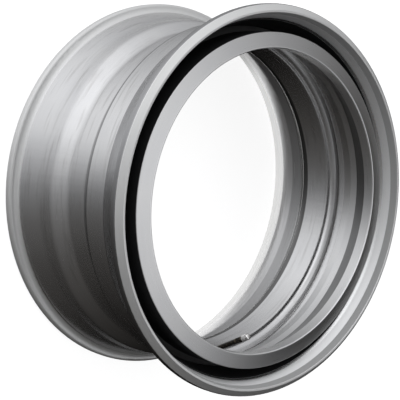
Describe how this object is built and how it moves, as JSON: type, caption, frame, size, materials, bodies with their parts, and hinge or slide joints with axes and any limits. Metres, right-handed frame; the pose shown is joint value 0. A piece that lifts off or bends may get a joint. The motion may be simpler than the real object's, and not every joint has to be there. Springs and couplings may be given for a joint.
{
  "type": "discless truck wheel rim",
  "caption": "Drop-centre steel truck rim with tapered bead seats, a conical mounting ring welded inside its front, and a clamp-in valve.",
  "frame": {"origin": "middle of the hoop: on the wheel axis, halfway between the two lips", "axes": "+Z along the wheel axis towards the mounting ring's side, -Y towards the valve"},
  "size_m": [0.5968, 0.5968, 0.288],
  "materials": {
    "rim_steel": "satin, shot-blasted, with rolling marks round the hoop",
    "ring_steel": "satin, turned front face and seat",
    "weld_steel": "dull rippled weld metal",
    "stem_brass": "dark oxidised, threaded",
    "grommet_rubber": "matt moulded",
    "washer_steel": "zinc plated",
    "nut_brass": "satin turned",
    "core_brass": "turned",
    "cap_plated": "nickel plated, knurled"
  },
  "bodies": {
    "root": {"rim_body": "rim_steel", "mounting_ring": "ring_steel", "ring_weld": "weld_steel", "valve_stem": "stem_brass", "valve_grommet": "grommet_rubber", "valve_washer": "washer_steel", "valve_nut": "nut_brass", "valve_core": "core_brass", "valve_cap": "cap_plated"}
  },
  "joints": []
}
